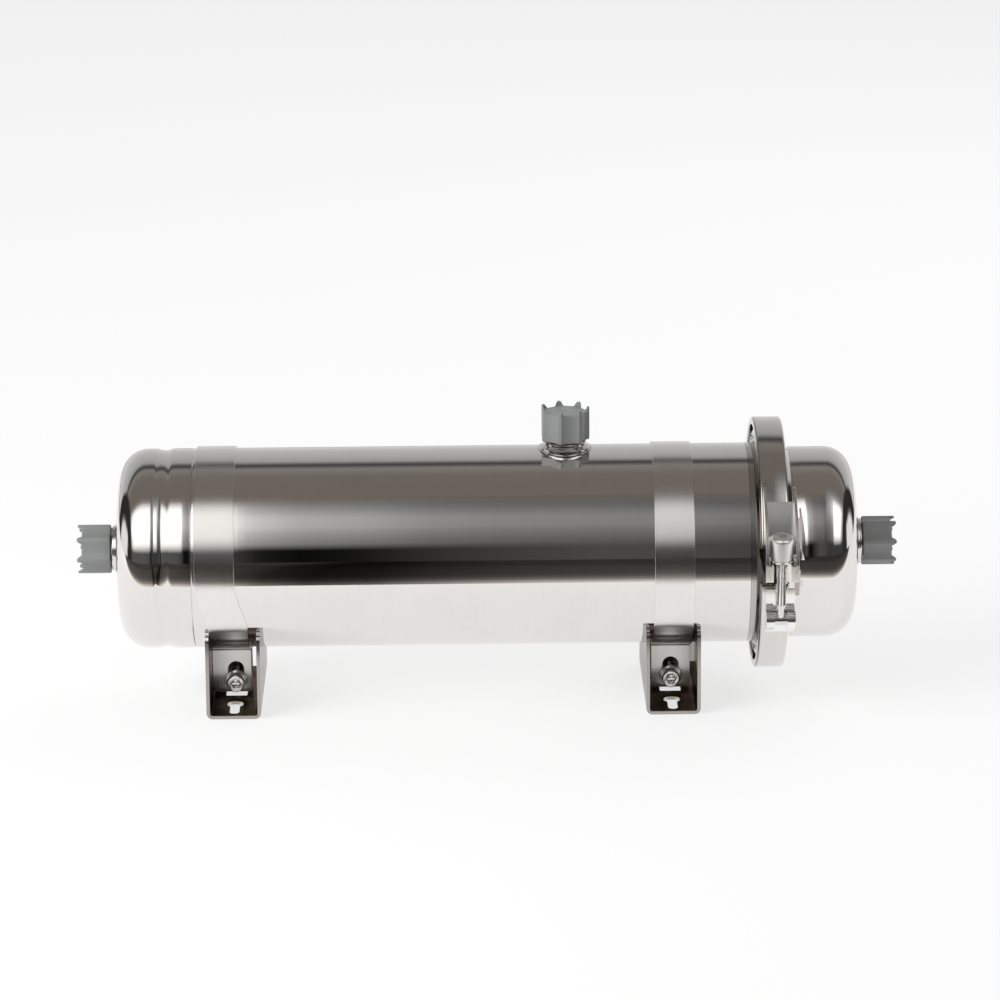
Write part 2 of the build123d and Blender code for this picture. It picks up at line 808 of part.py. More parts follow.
def end_ring(side):
    left, right = cartridge_ends()
    if side < 0:
        return turned(end_ring_outline(left, 1, False))
    return turned(end_ring_outline(right, -1, True))


def seal_ring(side):
    """Square ring that fills the groove of its end ring."""
    left, right = cartridge_ends()
    x = left + end_ring_length / 2 if side < 0 else right - end_ring_length / 2
    outer = bore_radius - ring_clearance
    half = ring_section / 2
    return turned(
        Polyline(
            (x - half, outer - ring_section),
            (x + half, outer - ring_section),
            (x + half, outer),
            (x - half, outer),
            close=True,
        )
    )


def guard_sleeve():
    """Thin tube with rows of slots that let the filtered water out to the shell."""
    left, right = cartridge_ends()
    length = right - left
    tube = Cylinder(sleeve_radius, length) - Cylinder(sleeve_radius - sleeve_wall, 2 * length)
    slotted = length - 2 * end_ring_length
    pitch = slotted / sleeve_slots_along
    for row in range(sleeve_slots_along):
        height = (row + 0.5) * pitch - slotted / 2
        for column in range(sleeve_slots_around):
            place = Rot(0, 0, column * 360 / sleeve_slots_around) * Pos(sleeve_radius, 0, height)
            tube -= place * Box(4 * sleeve_wall, sleeve_slot_width, sleeve_slot_length)
    return Pos((left + right) / 2, 0, 0) * Rot(0, 90, 0) * tube


def fibre_outline():
    """Outline of the packed fibres: a ring of round lobes about a full core."""
    core = Circle(fibre_radius)
    for lobe in range(fibre_lobes):
        turn = Rot(0, 0, lobe * 360 / fibre_lobes)
        core += turn * Pos(fibre_radius, 0) * Circle(fibre_lobe_radius)
    return core


def fibre_bundle():
    left, right = cartridge_ends()
    return Pos(left, 0, 0) * Rot(0, 90, 0) * extrude(fibre_outline(), right - left)


def potting_disc(side):
    """Cast resin that fills the sleeve's end round the fibres."""
    left, right = cartridge_ends()
    start = left if side < 0 else right - potting_length
    disc = Circle(sleeve_radius - sleeve_wall) - fibre_outline()
    return Pos(start, 0, 0) * Rot(0, 90, 0) * extrude(disc, potting_length)


def build_all():
    """Every node of the filter by name, about the tube's axis."""
    ports = {"inlet": end_place(-1), "flush": end_place(1), "outlet": top_place()}
    collars = {"inlet": end_collar_height, "flush": end_collar_height, "outlet": top_collar_height}
    nodes = {
        "shell_tube": shell_tube(),
        "fixed_end_head": fixed_end_head(),
        "end_cap_dome": end_cap_dome(),
        "shell_ferrule": ferrule(-1),
        "end_cap_ferrule": ferrule(1),
        "flange_gasket": flange_gasket(),
        "inlet_port": end_port(-1),
        "flush_port": end_port(1),
        "outlet_port": top_port(),
        "clamp_band": clamp_band(),
        "upper_latch_bracket": upper_latch_bracket(),
        "lower_latch_bracket": lower_latch_bracket(),
        "latch_tee_bolt": tee_bolt(),
        "latch_washer": latch_washer(),
        "latch_nut": latch_nut(),
        "fibre_bundle": fibre_bundle(),
        "guard_sleeve": guard_sleeve(),
    }
    for index in range(retainer_count):
        nodes["clamp_retainer_" + str(index + 1)] = clamp_retainer(index)
    for name, place in ports.items():
        lifted = place * Pos(0, 0, collars[name] + cap_gap)
        nodes[name + "_cap"] = lifted * port_cap()
        nodes[name + "_cap_disc"] = lifted * sealing_disc()
    for name, side in (("left", -1), ("right", 1)):
        nodes[name + "_foot"] = foot(side)
        nodes[name + "_strap"] = strap(side)
        nodes[name + "_strap_screw"] = strap_screw(side)
        nodes[name + "_strap_washers"] = strap_washers(side)
        nodes[name + "_strap_nut"] = strap_nut(side)
        nodes[name + "_end_ring"] = end_ring(side)
        nodes[name + "_seal_ring"] = seal_ring(side)
        nodes[name + "_potting_disc"] = potting_disc(side)
    return nodes


os.makedirs("parts", exist_ok=True)
for node_name, shape in build_all().items():
    export_step(Pos(0, 0, axis_height) * shape, "parts/" + node_name + ".step")
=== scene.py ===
import json
import math

import bmesh
import bpy
from mathutils import Matrix, Vector


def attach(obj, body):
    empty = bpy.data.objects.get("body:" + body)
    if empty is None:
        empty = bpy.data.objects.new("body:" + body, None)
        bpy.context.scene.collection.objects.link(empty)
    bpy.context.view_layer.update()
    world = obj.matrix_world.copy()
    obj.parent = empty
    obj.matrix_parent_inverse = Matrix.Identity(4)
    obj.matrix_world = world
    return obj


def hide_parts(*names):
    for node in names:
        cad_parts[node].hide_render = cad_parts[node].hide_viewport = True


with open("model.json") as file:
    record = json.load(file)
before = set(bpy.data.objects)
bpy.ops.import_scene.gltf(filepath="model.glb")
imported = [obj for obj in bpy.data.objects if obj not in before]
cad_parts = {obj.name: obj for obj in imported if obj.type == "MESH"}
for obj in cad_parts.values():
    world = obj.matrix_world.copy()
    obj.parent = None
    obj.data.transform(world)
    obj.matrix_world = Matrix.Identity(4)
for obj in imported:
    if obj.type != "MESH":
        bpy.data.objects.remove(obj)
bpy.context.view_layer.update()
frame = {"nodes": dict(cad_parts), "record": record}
nodes = frame["nodes"]
bodyOf = {name: body for body, names in frame["record"]["behaviour"]["bodies"].items() for name in names}
scene = bpy.context.scene
mm = 0.001
axisHeight = 87.0  # the tube's axis above the floor, mm


# Building blocks for node trees
def addNode(tree, kind, settings=None, sockets=None):
    node = tree.nodes.new(kind)
    for key, value in (settings or {}).items():
        setattr(node, key, value)
    for key, value in (sockets or {}).items():
        if hasattr(value, "is_linked"):
            tree.links.new(value, node.inputs[key])
        else:
            node.inputs[key].default_value = value
    return node


def newGroup(kind, name, inputs, outputs):
    # inputs are (label, socket, value or None), outputs are (label, socket)
    tree = bpy.data.node_groups.new(name, kind)
    for label, socketKind, value in inputs:
        socket = tree.interface.new_socket(label, in_out="INPUT", socket_type="NodeSocket" + socketKind)
        if value is not None:
            socket.default_value = value
    for label, socketKind in outputs:
        tree.interface.new_socket(label, in_out="OUTPUT", socket_type="NodeSocket" + socketKind)
    return tree, addNode(tree, "NodeGroupInput").outputs, addNode(tree, "NodeGroupOutput").inputs


def calc(tree, operation, first, second=0.0):
    return addNode(tree, "ShaderNodeMath", {"operation": operation}, {0: first, 1: second}).outputs[0]


def total(tree, first, *others):
    for value in others:
        first = calc(tree, "ADD", first, value)
    return first


def times(tree, first, second):
    return calc(tree, "MULTIPLY", first, second)


def span(tree, value, low, high, outLow=0.0, outHigh=1.0):
    sockets = {"Value": value, "From Min": low, "From Max": high, "To Min": outLow, "To Max": outHigh}
    return addNode(tree, "ShaderNodeMapRange", None, sockets).outputs[0]


def noise(tree, vector, scale, detail, roughness):
    sockets = {"Vector": vector, "Scale": scale, "Detail": detail, "Roughness": roughness}
    return addNode(tree, "ShaderNodeTexNoise", None, sockets).outputs["Fac"]


def scaled(tree, color, factor):
    sockets = {0: color, "Scale": factor}
    return addNode(tree, "ShaderNodeVectorMath", {"operation": "SCALE"}, sockets).outputs[0]


def multiplied(tree, first, second):
    return addNode(tree, "ShaderNodeVectorMath", {"operation": "MULTIPLY"}, {0: first, 1: second}).outputs[0]


def blended(tree, share, first, second, how="MIX"):
    settings = {"data_type": "RGBA", "blend_type": how}
    return addNode(tree, "ShaderNodeMix", settings, {0: share, 6: first, 7: second}).outputs[2]


def objectAxes(tree):
    coords = addNode(tree, "ShaderNodeTexCoord").outputs["Object"]
    return addNode(tree, "ShaderNodeSeparateXYZ", None, {0: coords}).outputs


def facingAxes(tree):
    normal = addNode(tree, "ShaderNodeNewGeometry").outputs["True Normal"]
    return addNode(tree, "ShaderNodeSeparateXYZ", None, {0: normal}).outputs


def seenDirectly(tree):
    # 1 for what the camera sees, also in a mirror or through glass
    path = addNode(tree, "ShaderNodeLightPath").outputs
    seen = calc(tree, "MAXIMUM", path["Is Camera Ray"], path["Is Glossy Ray"])
    return calc(tree, "MAXIMUM", seen, path["Is Transmission Ray"])


effectOutputs = [("Color", "Color"), ("Roughness", "Float"), ("Height", "Float")]
polish = {
    "lineDetail": (4.0, 0.65), "lineRough": 0.5,
    "smudgeScale": 28.0, "smudgeDetail": (4.0, 0.6), "smudgeRange": (0.45, 0.75), "smudgeTone": 0.03,
    "speckScale": 900.0, "speckDetail": (2.0, 0.5), "speckRange": (0.62, 0.8), "speckRough": 0.6,
}


def polishGroup():
    # fine polishing lines with soft smudges and specks over them
    tree, given, out = newGroup("ShaderNodeTree", "polishing", [
        ("Lines", "Vector", None), ("Surface", "Vector", None), ("Base Color", "Color", (0.8, 0.8, 0.8, 1)),
        ("Roughness", "Float", 0.05), ("Line Depth", "Float", 0.1), ("Smudges", "Float", 0.05),
    ], effectOutputs)
    lines = noise(tree, given["Lines"], 1.0, *polish["lineDetail"])
    smudge = noise(tree, given["Surface"], polish["smudgeScale"], *polish["smudgeDetail"])
    smudge = span(tree, smudge, *polish["smudgeRange"])
    specks = noise(tree, given["Surface"], polish["speckScale"], *polish["speckDetail"])
    specks = span(tree, specks, *polish["speckRange"])
    lift = times(tree, calc(tree, "SUBTRACT", lines, 0.5), given["Line Depth"])
    shade = calc(tree, "SUBTRACT", total(tree, lift, 1.0), times(tree, smudge, polish["smudgeTone"]))
    rough = total(
        tree, given["Roughness"], times(tree, smudge, given["Smudges"]),
        times(tree, calc(tree, "ABSOLUTE", lift), polish["lineRough"]),
        times(tree, specks, times(tree, given["Smudges"], polish["speckRough"])))
    tree.links.new(scaled(tree, given["Base Color"], shade), out["Color"])
    tree.links.new(rough, out["Roughness"])
    tree.links.new(lines, out["Height"])
    return tree


mould = {
    "grainDetail": (2.0, 0.5), "grainTone": 0.05, "grainRough": 0.12,
    "flowScale": 60.0, "flowDetail": (3.0, 0.5),
}


def mouldGroup():
    # moulded plastic, rubber and resin: fine grain over slow flow marks
    tree, given, out = newGroup("ShaderNodeTree", "moulding", [
        ("Surface", "Vector", None), ("Base Color", "Color", (0.5, 0.5, 0.5, 1)),
        ("Roughness", "Float", 0.4), ("Grain Size", "Float", 2500.0), ("Mottle", "Float", 0.06),
    ], effectOutputs)
    grain = noise(tree, given["Surface"], given["Grain Size"], *mould["grainDetail"])
    flow = noise(tree, given["Surface"], mould["flowScale"], *mould["flowDetail"])
    grainLift = calc(tree, "SUBTRACT", grain, 0.5)
    mottle = times(tree, calc(tree, "SUBTRACT", flow, 0.5), given["Mottle"])
    shade = total(tree, mottle, 1.0, times(tree, grainLift, mould["grainTone"]))
    rough = total(tree, given["Roughness"], times(tree, grainLift, mould["grainRough"]))
    tree.links.new(scaled(tree, given["Base Color"], shade), out["Color"])
    tree.links.new(rough, out["Roughness"])
    tree.links.new(grain, out["Height"])
    return tree


polishing = polishGroup()
moulding = mouldGroup()
plainScale = (1, 1, 1)


def placed(tree, scale):
    coords = addNode(tree, "ShaderNodeTexCoord").outputs["Object"]
    return addNode(tree, "ShaderNodeMapping", None, {"Vector": coords, "Scale": scale}).outputs[0]


def insides(material):
    tree = material.node_tree
    return tree, tree.nodes["Principled BSDF"]


def grouped(name, group, patterns, values, bumpDepth, bumpReach):
    # the group gives colour, roughness and bump; patterns are the scales of its coordinates
    material = bpy.data.materials.new(name)
    material.use_nodes = True
    tree, shader = insides(material)
    scales = {label: placed(tree, scale) for label, scale in patterns.items()}
    effect = addNode(tree, "ShaderNodeGroup", {"node_tree": group}, {**scales, **values}).outputs
    bump = addNode(tree, "ShaderNodeBump", None, {
        "Height": effect["Height"], "Strength": bumpDepth, "Distance": bumpReach}).outputs[0]
    tree.links.new(effect["Color"], shader.inputs["Base Color"])
    tree.links.new(effect["Roughness"], shader.inputs["Roughness"])
    tree.links.new(bump, shader.inputs["Normal"])
    return material


def steel(name, color, roughness, lineScale, lineDepth, smudges, bumpDepth):
    # lineScale stretches the noise: a large number across the lines, a small one along them
    material = grouped(name, polishing, {"Lines": lineScale, "Surface": plainScale}, {
        "Base Color": (*color, 1), "Roughness": roughness, "Line Depth": lineDepth, "Smudges": smudges,
    }, bumpDepth, 0.2 * mm)
    insides(material)[1].inputs["Metallic"].default_value = 1.0
    return material


def moulded(name, color, roughness, grain, mottle, bumpDepth):
    return grouped(name, moulding, {"Surface": plainScale}, {
        "Base Color": (*color, 1), "Roughness": roughness, "Grain Size": grain, "Mottle": mottle,
    }, bumpDepth, 0.3 * mm)


def toned(material, share, tone):
    # multiplies the base colour by the tone, as far as share goes
    tree, shader = insides(material)
    before = shader.inputs["Base Color"].links[0].from_socket
    tree.links.new(blended(tree, share, before, tone, "MULTIPLY"), shader.inputs["Base Color"])


# Heights in mm above the floor
strapLook = {
    "stretch": 0.85, "turn": 0.25, "paintedShadeFrom": 56.0, "paintedShadeTo": 44.0, "paintedShadeTone": (0.78, 0.775, 0.765, 1),
}


def brushedRound(material):
    # brushed round the tube, so that highlights spread across the lines
    tree, shader = insides(material)
    shader.inputs["Anisotropic"].default_value = strapLook["stretch"]
    shader.inputs["Anisotropic Rotation"].default_value = strapLook["turn"]
    around = addNode(tree, "ShaderNodeTangent", {"direction_type": "RADIAL", "axis": "X"})
    tree.links.new(around.outputs[0], shader.inputs["Tangent"])
    # painted shade: the lower half is darker towards the floor
    low = span(tree, objectAxes(tree)[2], strapLook["paintedShadeFrom"] * mm, strapLook["paintedShadeTo"] * mm)
    toned(material, low, strapLook["paintedShadeTone"])
    return material


footLook = {
    # the wall tone and the darker colour inside the fold are painted shade; millRough is the fold's rougher
    # surface
    "edgeTint": (0.30, 0.28, 0.26, 1), "wallShadeTone": (0.60, 0.57, 0.55, 1), "wallShadeFacing": (0.8, 0.95),
    "foldShadeColor": (0.25, 0.215, 0.185), "millRough": 0.12, "foldShadeScale": 90.0, "foldShadeDetail": (4.0, 0.55),
    "foldShadeRange": (0.3, 0.75), "foldShadeLevels": (0.7, 1.3),
    # inside of the fold: its middle from the object's centre, half width and height, mm
    "middle": 123.0, "halfInside": 13.4, "floor": 1.8, "soft": 0.2,
}


def foldedFoot(material):
    # painted shade: darker on the outer walls and the front edge by the way they face, and a darker patchy
    # colour painted inside the fold as shade, where the surface is also rougher
    tree, shader = insides(material)
    shader.inputs["Specular Tint"].default_value = footLook["edgeTint"]
    # painted shade on the walls, by the way they face
    facing = facingAxes(tree)
    faced = calc(tree, "MAXIMUM", calc(tree, "ABSOLUTE", facing[0]), times(tree, facing[1], -1.0))
    toned(material, span(tree, faced, *footLook["wallShadeFacing"]), footLook["wallShadeTone"])

    x, y, z = objectAxes(tree)
    side, floor, soft = (footLook[key] * mm for key in ("halfInside", "floor", "soft"))
    off = calc(tree, "SUBTRACT", calc(tree, "ABSOLUTE", x), footLook["middle"] * mm)
    off = calc(tree, "ABSOLUTE", off)
    # painted shade inside the fold, in darker patches
    inside = times(tree, span(tree, off, side, side - soft), span(tree, z, floor - soft, floor))
    patches = noise(tree, placed(tree, plainScale), footLook["foldShadeScale"], *footLook["foldShadeDetail"])
    patches = span(tree, span(tree, patches, *footLook["foldShadeRange"]), 0, 1, *footLook["foldShadeLevels"])
    foldShade = scaled(tree, footLook["foldShadeColor"], patches)
    outside = shader.inputs["Base Color"].links[0].from_socket
    rough = shader.inputs["Roughness"].links[0].from_socket
    rough = total(tree, rough, times(tree, inside, footLook["millRough"]))
    tree.links.new(blended(tree, inside, outside, foldShade), shader.inputs["Base Color"])
    tree.links.new(rough, shader.inputs["Roughness"])
    return material


def paintedFlankShade(material, low, high, tone):
    # painted shade: the flank that faces the fixed head is darker than the rim
    tree = material.node_tree
    toned(material, span(tree, facingAxes(tree)[0], low, high), tone)
    return material


finishes = {
    "polished_steel": steel(
        "mirrorSteel", color=(0.81, 0.785, 0.762), roughness=0.03,
        lineScale=(420, 9, 9), lineDepth=0.05, smudges=0.03, bumpDepth=0.012),
    "port_steel": steel(
        "turnedSteel", color=(0.76, 0.75, 0.735), roughness=0.12,
        lineScale=(900, 60, 900), lineDepth=0.16, smudges=0.05, bumpDepth=0.05),
    # the band's flank that faces the fixed head carries painted shade
    "clamp_steel": paintedFlankShade(
        steel("stripSteel", color=(0.74, 0.715, 0.69), roughness=0.09,
              lineScale=(700, 12, 12), lineDepth=0.10, smudges=0.04, bumpDepth=0.02),
        low=-0.25, high=-0.6, tone=(0.36, 0.33, 0.31, 1)),
    "bracket_steel": steel(
        "pressedSteel", color=(0.92, 0.905, 0.885), roughness=0.15,
        lineScale=(240, 240, 240), lineDepth=0.10, smudges=0.08, bumpDepth=0.05),
    "fastener_steel": steel(
        "brightSteel", color=(0.74, 0.735, 0.725), roughness=0.13,
        lineScale=(500, 500, 500), lineDepth=0.12, smudges=0.06, bumpDepth=0.05),
    "foot_steel": foldedFoot(steel(
        "footSteel", color=(0.70, 0.68, 0.66), roughness=0.09,
        lineScale=(18, 18, 600), lineDepth=0.12, smudges=0.07, bumpDepth=0.02)),
    "satin_steel": brushedRound(steel(
        "satinSteel", color=(0.84, 0.82, 0.80), roughness=0.24,
        lineScale=(900, 14, 14), lineDepth=0.10, smudges=0.03, bumpDepth=0.01)),
    "grey_plastic": moulded(
        "greyPlastic", color=(0.225, 0.232, 0.229), roughness=0.38,
        grain=2600.0, mottle=0.10, bumpDepth=0.22),
    "white_plastic": moulded(
        "whitePlastic", color=(0.84, 0.84, 0.81), roughness=0.35,
        grain=1800.0, mottle=0.04, bumpDepth=0.08),
    "seal_rubber": moulded(
        "sealRubber", color=(0.03, 0.03, 0.032), roughness=0.5,
        grain=1500.0, mottle=0.2, bumpDepth=0.1),
    "resin": moulded(
        "castResin", color=(0.72, 0.66, 0.48), roughness=0.3,
        grain=700.0, mottle=0.15, bumpDepth=0.05),
    "fibre": moulded(
        "hollowFibre", color=(0.88, 0.88, 0.85), roughness=0.6,
        grain=3000.0, mottle=0.08, bumpDepth=0.3),
}
# Pieces whose look differs from the rest of their slot
ownLooks = {
    "latch_nut": steel(
        "nutSteel", color=(0.94, 0.93, 0.915), roughness=0.38,
        lineScale=(60, 60, 900), lineDepth=0.06, smudges=0.05, bumpDepth=0.02),
    # the ferrule's flank that faces the fixed head carries painted shade
    "shell_ferrule": paintedFlankShade(
        steel("flangeSteel", color=(0.70, 0.68, 0.66), roughness=0.12,
              lineScale=(900, 60, 900), lineDepth=0.12, smudges=0.05, bumpDepth=0.03),
        low=0.2, high=-0.4, tone=(0.16, 0.145, 0.135, 1)),
}
print("finishes ready:", len(finishes))

# Mesh building: outlines are (x, radius) in mm about the tube's axis
sharpAngle = math.radians(32)
flatAngle = math.radians(0.2)
turnedAngle = math.radians(40)  # edges of a turned piece that bend more than this are broken
copyAngle = math.radians(34)  # and those of a CAD copy
copyGap = 1e-6  # corners of a CAD copy or a cap closer than this are one, m
latheGap = 1e-7
roundSteps = 256
weightedNormals = ("WEIGHTED_NORMAL", {"weight": 100, "keep_sharp": True})


def bevel(width, angle):
    return ("BEVEL", {"width": width * mm, "segments": 2, "limit_method": "ANGLE", "angle_limit": angle})


def linked(name, content):
    made = bpy.data.objects.new(name, content)
    scene.collection.objects.link(made)
    return made


def finished(mesh, name):
    mesh.name = name
    for poly in mesh.polygons:
        poly.use_smooth = True
    mesh.set_sharp_from_angle(angle=sharpAngle)
    return linked(name, mesh)


def frozen(made):
    # the object's mesh with its modifiers run; the object itself is removed
    graph = bpy.context.evaluated_depsgraph_get()
    mesh = bpy.data.meshes.new_from_object(made.evaluated_get(graph))
    name = made.name
    bpy.data.objects.remove(made)
    return mesh, name


def baked(made, *modifiers):
    for kind, settings in modifiers:
        modifier = made.modifiers.new(kind, kind)
        for key, value in settings.items():
            setattr(modifier, key, value)
    mesh, name = frozen(made)
    if modifiers[-1] is weightedNormals:  # a second smoothing would lose its normals
        return linked(name, mesh)
    return finished(mesh, name)


def grown(made, tree, values):
    # runs a node tree on the piece with named inputs
    modifier = made.modifiers.new(tree.name, "NODES")
    modifier.node_group = tree
    for item in tree.interface.items_tree:
        if item.in_out == "INPUT" and item.name in values:
            modifier[item.identifier] = values[item.name]
    return finished(*frozen(made))


def reworked(mesh, change):
    work = bmesh.new()
    work.from_mesh(mesh)
    change(work)
    work.to_mesh(mesh)
    work.free()
    return mesh


def outward(mesh, gap):
    # merges doubles and turns the faces outwards
    def change(work):
        bmesh.ops.remove_doubles(work, verts=work.verts, dist=gap)
        bmesh.ops.recalc_face_normals(work, faces=work.faces)
    return reworked(mesh, change)


def joined(name, *parts):
    def change(work):
        for part in parts:
            work.from_mesh(part.data)
            bpy.data.objects.remove(part)
    return finished(reworked(bpy.data.meshes.new(name), change), name)


def bored(made, segments, radius, depth, place, *modifiers):
    # cuts a round or many-sided hole along the place's Z, centred on it; sizes in mm
    def change(work):
        bmesh.ops.create_cone(
            work, cap_ends=True, segments=segments, radius1=radius * mm, radius2=radius * mm,
            depth=depth * mm, matrix=place)
    cutter = linked("cutter", reworked(bpy.data.meshes.new("cutter"), change))
    bpy.context.view_layer.update()
    cut = ("BOOLEAN", {"operation": "DIFFERENCE", "solver": "EXACT", "object": cutter})
    made = baked(made, cut, *modifiers)
    bpy.data.objects.remove(cutter)
    return made


def lathe(name, outline, steps, fromFront=0.0, toFront=360.0, place=None):
    # with a place, the outline is (height, radius) along that matrix's Z
    closedRound = toFront - fromFront >= 360
    rings = steps if closedRound else steps + 1
    verts, faces = [], []
    for ring in range(rings):
        turn = math.radians(fromFront + (toFront - fromFront) * ring / steps)
        for x, radius in outline:
            if place:
                verts.append(place @ (Vector((radius * math.sin(turn), -radius * math.cos(turn), x)) * mm))
            else:
                verts.append(Vector((x, -radius * math.cos(turn), radius * math.sin(turn) + axisHeight)) * mm)
    count = len(outline)
    for ring in range(steps):
        here, ahead = ring * count, (ring + 1) % rings * count
        for index in range(count):
            after = (index + 1) % count
            faces.append((here + index, here + after, ahead + after, ahead + index))
    if not closedRound:
        faces.append(tuple(range(count)))
        faces.append(tuple(steps * count + index for index in reversed(range(count))))
    mesh = bpy.data.meshes.new(name)
    mesh.from_pydata(verts, [], faces)
    return finished(outward(mesh, latheGap), name)


def arcPoints(centre, radius, start, end, count):
    points = []
    for index in range(count + 1):
        angle = start + (end - start) * index / count
        points.append((centre[0] + radius * math.cos(angle), centre[1] + radius * math.sin(angle)))
    return points


def placeOn(x, y, z, turnX=0.0, turnY=0.0):
    turn = Matrix.Rotation(math.radians(turnY), 4, "Y") @ Matrix.Rotation(math.radians(turnX), 4, "X")
    return Matrix.Translation(Vector((x, y, z)) * mm) @ turn


def lifted(height):
    return Matrix.Translation((0, 0, height * mm))


def endTree(tree, geometry, finish, out):
    real = addNode(tree, "GeometryNodeRealizeInstances", None, {0: geometry}).outputs[0]
    coated = addNode(tree, "GeometryNodeSetMaterial", None, {"Geometry": real, "Material": finish})
    tree.links.new(coated.outputs[0], out[0])


def threadTree():
    # a helical ridge along Z, joined to the piece that it is wound on
    tree, given, out = newGroup("GeometryNodeTree", "threadRidge", [
        ("Geometry", "Geometry", None), ("Place", "Vector", None), ("Turn", "Vector", None),
        ("Radius", "Float", 0.002), ("Ridge", "Float", 0.0004), ("Pitch", "Float", 0.0008),
        ("Length", "Float", 0.02), ("Points", "Int", 28), ("Finish", "Material", None),
    ], [("Geometry", "Geometry")])
    helix = addNode(tree, "GeometryNodeCurveSpiral", None, {
        "Resolution": given["Points"], "Rotations": calc(tree, "DIVIDE", given["Length"], given["Pitch"]),
        "Start Radius": given["Radius"], "End Radius": given["Radius"], "Height": given["Length"]}).outputs[0]
    upright = addNode(tree, "GeometryNodeSetCurveNormal", {"mode": "Z_UP"}, {0: helix}).outputs[0]
    ridge = addNode(tree, "GeometryNodeCurvePrimitiveCircle", None, {
        "Resolution": 4, "Radius": given["Ridge"]}).outputs[0]
    swept = addNode(tree, "GeometryNodeCurveToMesh", None, {
        "Curve": upright, "Profile Curve": ridge, "Fill Caps": True}).outputs[0]
    laid = addNode(tree, "GeometryNodeTransform", None, {
        "Geometry": swept, "Translation": given["Place"], "Rotation": given["Turn"]}).outputs[0]
    both = addNode(tree, "GeometryNodeJoinGeometry", None, {0: laid})
    tree.links.new(given["Geometry"], both.inputs[0])
    endTree(tree, both.outputs[0], given["Finish"], out)
    return tree


threadRidge = threadTree()


def threaded(made, place, thread, finish):
    return grown(made, threadRidge, {
        "Place": place @ (Vector((0, 0, thread["start"])) * mm), "Turn": Vector(place.to_euler()),
        "Radius": (thread["crest"] - thread["ridge"]) * mm, "Ridge": thread["ridge"] * mm,
        "Pitch": thread["pitch"] * mm, "Length": thread["length"] * mm, "Finish": finishes[finish]})


def show(made, finish, *replaced):
    # the piece takes the place, body and finish of the CAD nodes that it stands for
    made.data.materials.clear()
    made.data.materials.append(ownLooks.get(replaced[0], finishes[finish]))
    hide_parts(*replaced)
    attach(made, bodyOf[replaced[0]])


# Shell and heads, all turned about the tube's axis
vessel = {
    "radius": 56.2, "capRadius": 53.7, "wall": 1.5, "seamX": -144.5, "shellEndX": 165.0,
    "fixedKnuckleX": -169.7, "capSkirtX": 189.4, "capKnuckleX": 209.0, "edge": 0.12,
    "domeDepth": 19.0, "knuckle": 16.5, "knuckleSteps": 22, "crownSteps": 34,
    "grooveX": -160.5, "grooveWidth": 8.6, "grooveDepth": 1.0, "barrel": 0.12, "farBarrel": 0.06,
    "skirtStep": 0.35, "skirtSoft": 0.7, "skirtEnd": 0.05,
    "portHole": 10.05, "portDepth": 12.0, "portSteps": 64, "topPortX": 63.7, "portMargin": 16.0,
    # distance past the seam and depth below the surface
    "seamRound": [(0.0, 0.5), (0.3, 0.22), (0.7, 0.06), (1.2, 0.0), (1.4, 0.0), (2.0, 0.0)],
}


def domePoints(kneeX, side, inset=0.0):
    skirt = "capRadius" if side > 0 else "radius"
    radius, depth, knuckle = (vessel[key] - inset for key in (skirt, "domeDepth", "knuckle"))
    centreRadius = radius - knuckle
    rise = depth - knuckle
    crownBack = (centreRadius ** 2 - rise ** 2) / (2 * rise)
    crown = depth + crownBack
    tangent = math.atan2(centreRadius, crownBack)
    hole = math.asin(vessel["portHole"] / crown)
    knuckleArc = arcPoints((0, centreRadius), knuckle, math.pi / 2, tangent, vessel["knuckleSteps"])
    crownArc = arcPoints((-crownBack, 0), crown, tangent, hole, vessel["crownSteps"])
    return [(kneeX + side * x, y) for x, y in knuckleArc + crownArc[1:]]


def skirtRise(x):
    # sunk in the rolled groove, faintly barrelled on the bands at its sides
    groove, half = vessel["grooveX"], vessel["grooveWidth"] / 2
    if abs(x - groove) < half:
        return -vessel["grooveDepth"] * (1 - ((x - groove) / half) ** 2)
    near = x > groove
    low, high = (groove + half, vessel["seamX"]) if near else (vessel["fixedKnuckleX"], groove - half)
    along = min(1.0, max(0.0, (x - low) / (high - low)))
    return 4 * along * (1 - along) * vessel["barrel" if near else "farBarrel"]


def fixedSkirt(inset=0.0):
    # the rise is averaged over a short stretch, which softens the groove's shoulders
    points = []
    x = vessel["seamX"]
    while x > vessel["fixedKnuckleX"] + vessel["skirtEnd"]:
        rises = [skirtRise(x + share * vessel["skirtSoft"]) for share in (-1.0, -0.5, 0.0, 0.5, 1.0)]
        points.append((x, vessel["radius"] - inset + sum(rises) / len(rises)))
        x -= vessel["skirtStep"]
    return points


def capSkirt(inset=0.0):
    return [(vessel["capSkirtX"], vessel["capRadius"] - inset)]


def cleaned(outline, gap=0.01):
    kept = []
    for point in outline:
        if not kept or math.dist(point, kept[-1]) > gap:
            kept.append(point)
    return kept


def dishedShell(name, skirt, kneeX, side, node):
    inset = vessel["wall"]
    outline = skirt() + domePoints(kneeX, side) + domePoints(kneeX, side, inset)[::-1] + skirt(inset)[::-1]
    made = baked(lathe(name, cleaned(outline), roundSteps), bevel(vessel["edge"], turnedAngle))
    show(made, "polished_steel", node)


